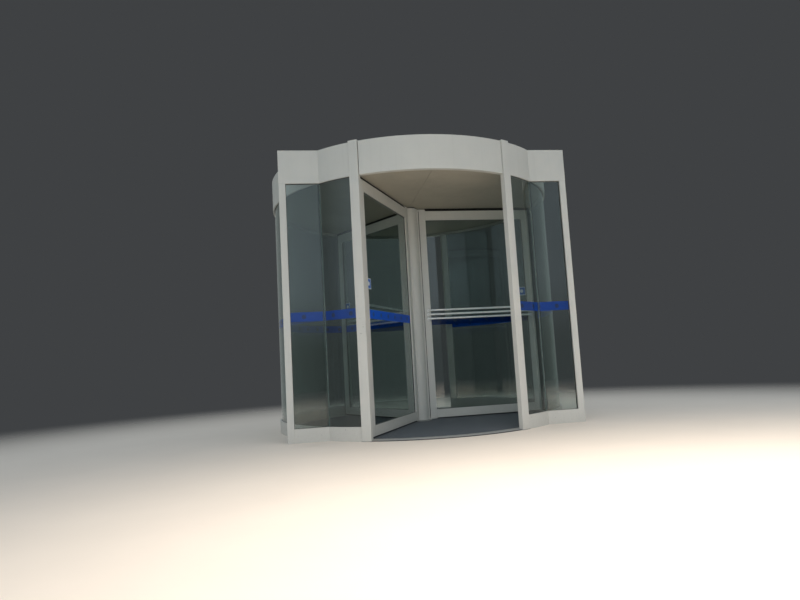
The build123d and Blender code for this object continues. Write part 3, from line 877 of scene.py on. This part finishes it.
# A black rubber lip in each gap beside the column: partly a seal, partly a dark strip that paints the gap's
# shade.
gap_shade_lip = [(GAP_SHADE_LIP_LAP, -1.0), (GAP_SHADE_LIP_LAP, 0.0), (-GAP_SHADE_LIP, -0.25), (-GAP_SHADE_LIP, -0.75)]
wing_rubbers, wing_lines = [], []
for angle in WING_ANGLES.values():
    away, square = wing_axes(angle)
    loop, inward = (np.array([away * x + UP * z for x, z in pairs]) for pairs in (opening, opening_ways))
    for face in (1.0, -1.0):
        turned = [(rise, y) for y, rise in wedge(face * half_pane, face, 0.0, 1.0)]
        wing_rubbers.append(carried(turned, loop, inward, square, closed=True))
        lip = [(stile_start + u, face * (shade_lip_side + v * GAP_SHADE_LIP_T)) for u, v in gap_shade_lip]
        wing_rubbers.append(carried(lip, np.array([UP * wing_foot, UP * wing_head]), away, square))
        for x in (opening_in, opening_out):
            place = away * x + square * face * half_wing
            for low, high in ((wing_foot, opening_low), (opening_high, wing_head)):
                wing_lines.append(upright_line(place, square, away, low, high))
made("wing_rubbers", wing_rubbers, "rotor", rubber)
made("wing_joint_lines", wing_lines, "rotor", hairline)

# Wing panes: toughened clear glass with the same blue band, stuck on by hand so that it sits a little
# lower on one wing, and a square blue sticker by the outer stile. On that wing the band's blue is
# darkened, which is painted shade.
BAND_H = BAND_HEAD - BAND_FOOT
WING_BAND_FOOT = {"a": 1.092, "b": 1.070, "c": 1.090}
STICKER = 0.100
STICKER_Z = 1.422
STICKER_INSET = 0.056
STICKER_FACE = {"a": 1.0, "b": -1.0, "c": 1.0}


def sticker_look(tree, place):
    """A plain blue square with a pale border and one pale dot, on the UV map in metres from its middle."""
    along, height, _ = parts(tree, add(tree, "TexCoord", out="UV"))
    edge = sums(tree, "MAXIMUM", sums(tree, "ABSOLUTE", along), sums(tree, "ABSOLUTE", height))
    border = between(tree, edge, STICKER * 0.43, STICKER * 0.44)
    dot = between(tree, distance(tree, along, height), STICKER * 0.2, STICKER * 0.21, 1.0, 0.0)
    fade = noise(tree, place, 30.0, 4.0)
    blue = tinted(tree, between(tree, fade, 0.3, 0.7), (0.015, 0.10, 0.42), (0.03, 0.14, 0.50))
    return {
        "Base Color": tinted(tree, sums(tree, "MAXIMUM", border, dot), blue, (0.78, 0.80, 0.83)),
        "Roughness": between(tree, fade, 0.3, 0.7, 0.32, 0.45),
    }


wing_pane = pane("wing_pane", along_radius)
sticker_film = surface("sticker_film", sticker_look)
# Wing b's band uses the same film with its blue darkened to three tenths: painted shade, not age.
shaded_film = surface("shaded_film", lambda tree, place: band_look(tree, place, depth=0.3), Specular_IOR_Level=0.1)
WING_FILM = {"a": band_film, "b": shaded_film, "c": band_film}
dress(wing_pane, "wing_glass")


def film_on_wing(angle, x0, x1, z0, z1, face=1.0):
    """A thin film on one face of a wing's pane, as a rectangle carried through its thickness."""
    away, square = wing_axes(angle)
    ends = np.array([square * (half_pane - FILM_SUNK), square * (half_pane + FILM_T)]) * face
    return carried(rectangle(x0, x1, z0, z1), ends, away, UP)


stickers, sticker_maps = [], []
for letter, angle in WING_ANGLES.items():
    away, _ = wing_axes(angle)
    foot = WING_BAND_FOOT[letter]
    shape = film_on_wing(angle, opening_in + FILM_GAP, opening_out - FILM_GAP, foot, foot + BAND_H)
    band_map = np.stack([shape[0] @ away, shape[0][:, 2] - foot + BAND_FOOT], -1)
    made(f"wing_band_{letter}", [shape], "rotor", WING_FILM[letter], lengthwise=band_map)
    centre = opening_out - STICKER_INSET
    low, high = STICKER_Z - STICKER / 2, STICKER_Z + STICKER / 2
    shape = film_on_wing(angle, centre - STICKER / 2, centre + STICKER / 2, low, high, STICKER_FACE[letter])
    stickers.append(shape)
    sticker_maps.append(np.stack([shape[0] @ away - centre, shape[0][:, 2] - STICKER_Z], -1))
sticker_map = np.concatenate(sticker_maps)
made("wing_stickers", stickers, "rotor", sticker_film, lengthwise=sticker_map)

# Push bars: stainless tube bent at both ends, satin-ground along its length, screwed to the stiles through
# round rosettes.


def steel_and_sheen_look(angle):
    """Satin steel ground along the tube: the scratches run along the wing, at its own plan angle. Its
    near-white colour, with the shader only partly metallic, paints in the bright reflection on the bars.
    """

    def varied(tree, place):
        turn = (0.0, 0.0, math.pi / 2 - angle)
        own = add(tree, "Mapping", Vector=place, Rotation=turn, options={"vector_type": "POINT"})
        scratch = with_effect(tree, brushing, Place=own, Fineness=1500.0)
        ground = between(tree, scratch["Lines"], 0.3, 0.7)
        rough = between(tree, scratch["Lines"], 0.3, 0.7, 0.24, 0.34)
        prints = between(tree, scratch["Broad"], 0.5, 0.75, 0.0, 0.10)
        return {
            "Base Color": tinted(tree, ground, (0.88, 0.885, 0.88), (0.97, 0.975, 0.965)),
            "Roughness": sums(tree, "ADD", rough, prints),
            "Normal": bump(tree, scratch["Lines"], 0.2, 0.0002),
        }

    return varied


# The tubes' low metallic share lets their near-white colour show as matt brightness: a painted sheen.
for letter, angle in WING_ANGLES.items():
    dress(surface(f"tube_steel_and_sheen_{letter}", steel_and_sheen_look(angle), Metallic=0.3), f"push_bars_{letter}")

# Wing brushes: black nylon hair clamped in a black holder, as wide as the rails along a wing's head and
# foot, and slim along its outer edge. The hair is set in tufts, two rows deep, whose tips lie unevenly.
TUFT_PITCH = 0.0034
TUFT_W = 0.0036
TUFT_LEAN = 0.0007
TUFT_SPLAY = 0.0004
TUFT_UNEVEN = 0.05
HOLDER_H = 0.0090
HOLDER_LAP = 0.0004
HOLDER_ROUND = 0.001
HOLDER_WALL = 0.0012
HOLDER_INSET = 0.002
BRUSH_SHORT = 0.001
HAIR_T = 0.0075
HAIR_OVER = 0.0040  # hair past the solid brush, so that it all but touches ceiling, wall and floor

wing_edge = frame_points[:, 0].max()
brush_points = points_of("brush_seals")
brush_reach = np.hypot(*brush_points[:, :2].T)
brush_low, brush_high = brush_points[:, 2].min(), brush_points[:, 2].max()
brush_tip = brush_reach.max()
brush_start = brush_reach.min() + BRUSH_SHORT
scatter = np.random.default_rng(7)


def tufts(start, step, count, growth, square, length):
    """Tufts in two staggered rows. Each is a slim four-sided taper: its foot sits at start + n * step, and
    its tip lies length along growth, shortened and bent aside by a little chance."""
    place = (np.arange(count)[:, None] + np.array([0.0, 0.5])) * TUFT_PITCH
    row = np.broadcast_to([-0.25, 0.25], place.shape) * HAIR_T
    lean = scatter.normal(0.0, TUFT_LEAN, place.shape)
    reach = length * (1.0 - TUFT_UNEVEN * scatter.random(place.shape))
    splay = scatter.normal(0.0, TUFT_SPLAY, place.shape)
    corner = np.array([(-0.5, -0.28), (0.5, -0.28), (0.5, 0.28), (-0.5, 0.28)])
    taper = np.array([[1.0], [0.62]])
    tip = np.array([[0.0], [1.0]])
    place, row, lean, splay, reach = (each[..., None, None] for each in (place, row, lean, splay, reach))
    along = place + lean * tip + corner[:, 0] * TUFT_W * taper
    aside = row + splay * tip + corner[:, 1] * HAIR_T * taper
    out = np.broadcast_to(reach * tip, along.shape)
    points = start + along[..., None] * step + aside[..., None] * square + out[..., None] * growth
    one = np.array([(0, 1, 5, 4), (1, 2, 6, 5), (2, 3, 7, 6), (3, 0, 4, 7), (4, 5, 6, 7)])
    faces = (np.arange(place.size)[:, None, None] * 8 + one).reshape(-1, 4).tolist()
    return points.reshape(-1, 3), faces


hair, holders = [], []
for angle in WING_ANGLES.values():
    away, square = wing_axes(angle)
    slim, wide = HAIR_T * 0.5 + HOLDER_WALL, half_wing - HOLDER_INSET
    top, bottom = away * brush_start + UP * wing_head, away * brush_start + UP * wing_foot
    over_head, over_foot = brush_high - wing_head + HAIR_OVER, wing_foot - brush_low + HAIR_OVER / 2
    side, over_side = away * wing_edge + UP * brush_low, brush_tip - wing_edge + HAIR_OVER
    runs = (
        (top, away, wing_edge - brush_start, UP, over_head, wide),
        (bottom, away, wing_edge - brush_start, -UP, over_foot, wide),
        (side, UP, brush_high - brush_low, away, over_side, slim),
    )
    for start, step, length, growth, depth, half in runs:
        hair.append(tufts(start, step, int(length / TUFT_PITCH), growth, square, depth))
        clamp = [(-half, -HOLDER_LAP), (half, -HOLDER_LAP), (half, HOLDER_H)]
        clamp += [(HOLDER_ROUND - half, HOLDER_H), (-half, HOLDER_H - HOLDER_ROUND)]
        holders.append(carried(clamp, np.array([start, start + step * length]), square, growth))
brush_hair = made("wing_brush_hair", hair, "rotor", nylon)
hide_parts("brush_seals")
made("wing_brush_holders", holders, "rotor", nylon)

# Studio: a plain pale floor that fades out, a soft surround that is brightest low over the street side,
# and three broad lamps, seen from where the photograph was taken. The camera itself sees a plain grey.
FOCAL_PX = 582.054
IMAGE_W = 800
SENSOR = 36.0
YAW, PITCH, ROLL = (math.radians(value) for value in (8.7086, 5.7394, -3.2272))
EYE = (-1.1617, -6.5484, 0.7067)
FLOOR_R = 16.0
FLOOR_BELOW = 0.0005
FLOOR_MIDDLE = (0.0, -3.6, 0.0)
FLOOR_FADE = (4.6, 8.4)
BACKDROP = (0.050, 0.053, 0.056)


def floor_look(tree, place):
    """Pale matt plaster with faint clouds."""
    return {"Base Color": tinted(tree, noise(tree, place, 2.0, 6.0), (0.78, 0.73, 0.66), (0.84, 0.785, 0.71))}


def floor_fade(tree):
    """The floor turns see-through with the distance from its middle, so that no edge shows."""
    place = add(tree, "TexCoord", out="Object")
    away = vectors(tree, "LENGTH", vectors(tree, "SUBTRACT", place, FLOOR_MIDDLE), out="Value")
    return between(tree, away, *FLOOR_FADE)


floor_finish = surface("studio_floor", floor_look, Roughness=0.85, Specular_IOR_Level=0.1)
floor_turn = np.linspace(0, 2 * np.pi, 96, endpoint=False)
floor_mesh = bpy.data.meshes.new("studio_floor")
floor_rim = outward(floor_turn) * FLOOR_R - UP * FLOOR_BELOW
floor_mesh.from_pydata(floor_rim.tolist(), [], [list(range(len(floor_rim)))])
floor_mesh.materials.append(thinned(floor_finish, floor_fade, (1.0, 1.0, 1.0)))
floor = placed("studio_floor", floor_mesh)

world = bpy.data.worlds.new("studio")
bpy.context.scene.world = world
world.use_nodes = True
sky = world.node_tree
heading = add(sky, "TexCoord", out="Generated")
height = add(sky, "SeparateXYZ", heading, out="Z")
to_right = between(sky, add(sky, "SeparateXYZ", heading, out="X"), 0.08, 0.40, 0.0, 0.45)
toward_street = vectors(sky, "DOT_PRODUCT", heading, (0.07, -0.998, 0.0), out="Value")
street = between(sky, toward_street, -0.1, 0.75)
low_sky = tinted(sky, between(sky, height, 0.01, 0.13), (0.24, 0.29, 0.27), (0.84, 1.00, 1.10))
low_sky = tinted(sky, to_right, low_sky, (0.05, 0.055, 0.055))
open_sky = tinted(sky, between(sky, height, 0.20, 0.55), low_sky, (0.58, 0.67, 0.78))
rear_sky = tinted(sky, between(sky, height, 0.25, 0.6), (0.21, 0.23, 0.225), (0.64, 0.67, 0.70))
surround = tinted(sky, street, rear_sky, open_sky)
overhead = sums(sky, "MULTIPLY", between(sky, height, 0.45, 0.95), between(sky, toward_street, -0.5, 0.1))
glow = tinted(sky, overhead, surround, (0.22, 0.23, 0.24))
sights = [add(sky, "LightPath", out=f"Is {kind} Ray") for kind in ("Camera", "Transmission")]
turns = [add(sky, "LightPath", out=f"{kind} Depth") for kind in ("Diffuse", "Glossy")]
straight = sums(sky, "LESS_THAN", sums(sky, "ADD", *turns), 0.5)
seen = sums(sky, "MULTIPLY", straight, sums(sky, "MAXIMUM", *sights))
backdrop = tinted(sky, seen, glow, BACKDROP)
sky.links.new(backdrop, sky.nodes["Background"].inputs["Color"])
sky.nodes["Background"].inputs["Strength"].default_value = 1.0


def stand_at(item, place, across, back):
    """Stands an object at a place by its own directions: across to its right, and back away from its aim."""
    stand = np.eye(4)
    stand[:3, :3] = np.stack([across, np.cross(back, across), back], 1)
    stand[:3, 3] = place
    item.matrix_world = Matrix(stand.tolist())


def lamp(name, place, aim, width, height, watts, colour, spread=math.pi):
    """A broad rectangular lamp that looks from its place at its aim, within the angle of its spread."""
    light = bpy.data.lights.new(name, "AREA")
    light.shape = "RECTANGLE"
    light.size, light.size_y = width, height
    light.energy = watts
    light.spread = spread
    light.color = colour
    holder = placed(name, light)
    holder.visible_camera = holder.visible_transmission = holder.visible_glossy = False
    back = np.array(place, float) - np.array(aim, float)
    back /= np.linalg.norm(back)
    across = np.cross(UP, back)
    stand_at(holder, place, across / np.linalg.norm(across), back)


lamp("low", (-1.0, -7.5, 0.8), (0, 0, 1.1), 4.0, 1.4, 8.5, (1.0, 1.0, 1.0), math.radians(70))
lamp("top", (0.8, -5.0, 5.0), (0.8, -4.6, 0.0), 5.0, 3.0, 122, (1.0, 0.87, 0.75), math.radians(75))
lamp("back", (1.0, 7.5, 3.4), (0, 0, 1.3), 6.0, 3.0, 80, (0.97, 0.99, 1.0))

camera_data = bpy.data.cameras.new("street_view")
camera_data.sensor_width = SENSOR
camera_data.lens = FOCAL_PX * SENSOR / IMAGE_W
camera = placed("street_view", camera_data)
ahead = np.array([math.sin(YAW) * math.cos(PITCH), math.cos(YAW) * math.cos(PITCH), math.sin(PITCH)])
right = np.array([math.cos(YAW), -math.sin(YAW), 0.0])
above = np.cross(right, ahead)
stand_at(camera, EYE, math.cos(ROLL) * right + math.sin(ROLL) * above, -ahead)

scene = bpy.context.scene
scene.camera = camera
scene.view_settings.view_transform = "Standard"
scene.cycles.max_bounces = 24
scene.cycles.transmission_bounces = 24
scene.cycles.transparent_max_bounces = 32
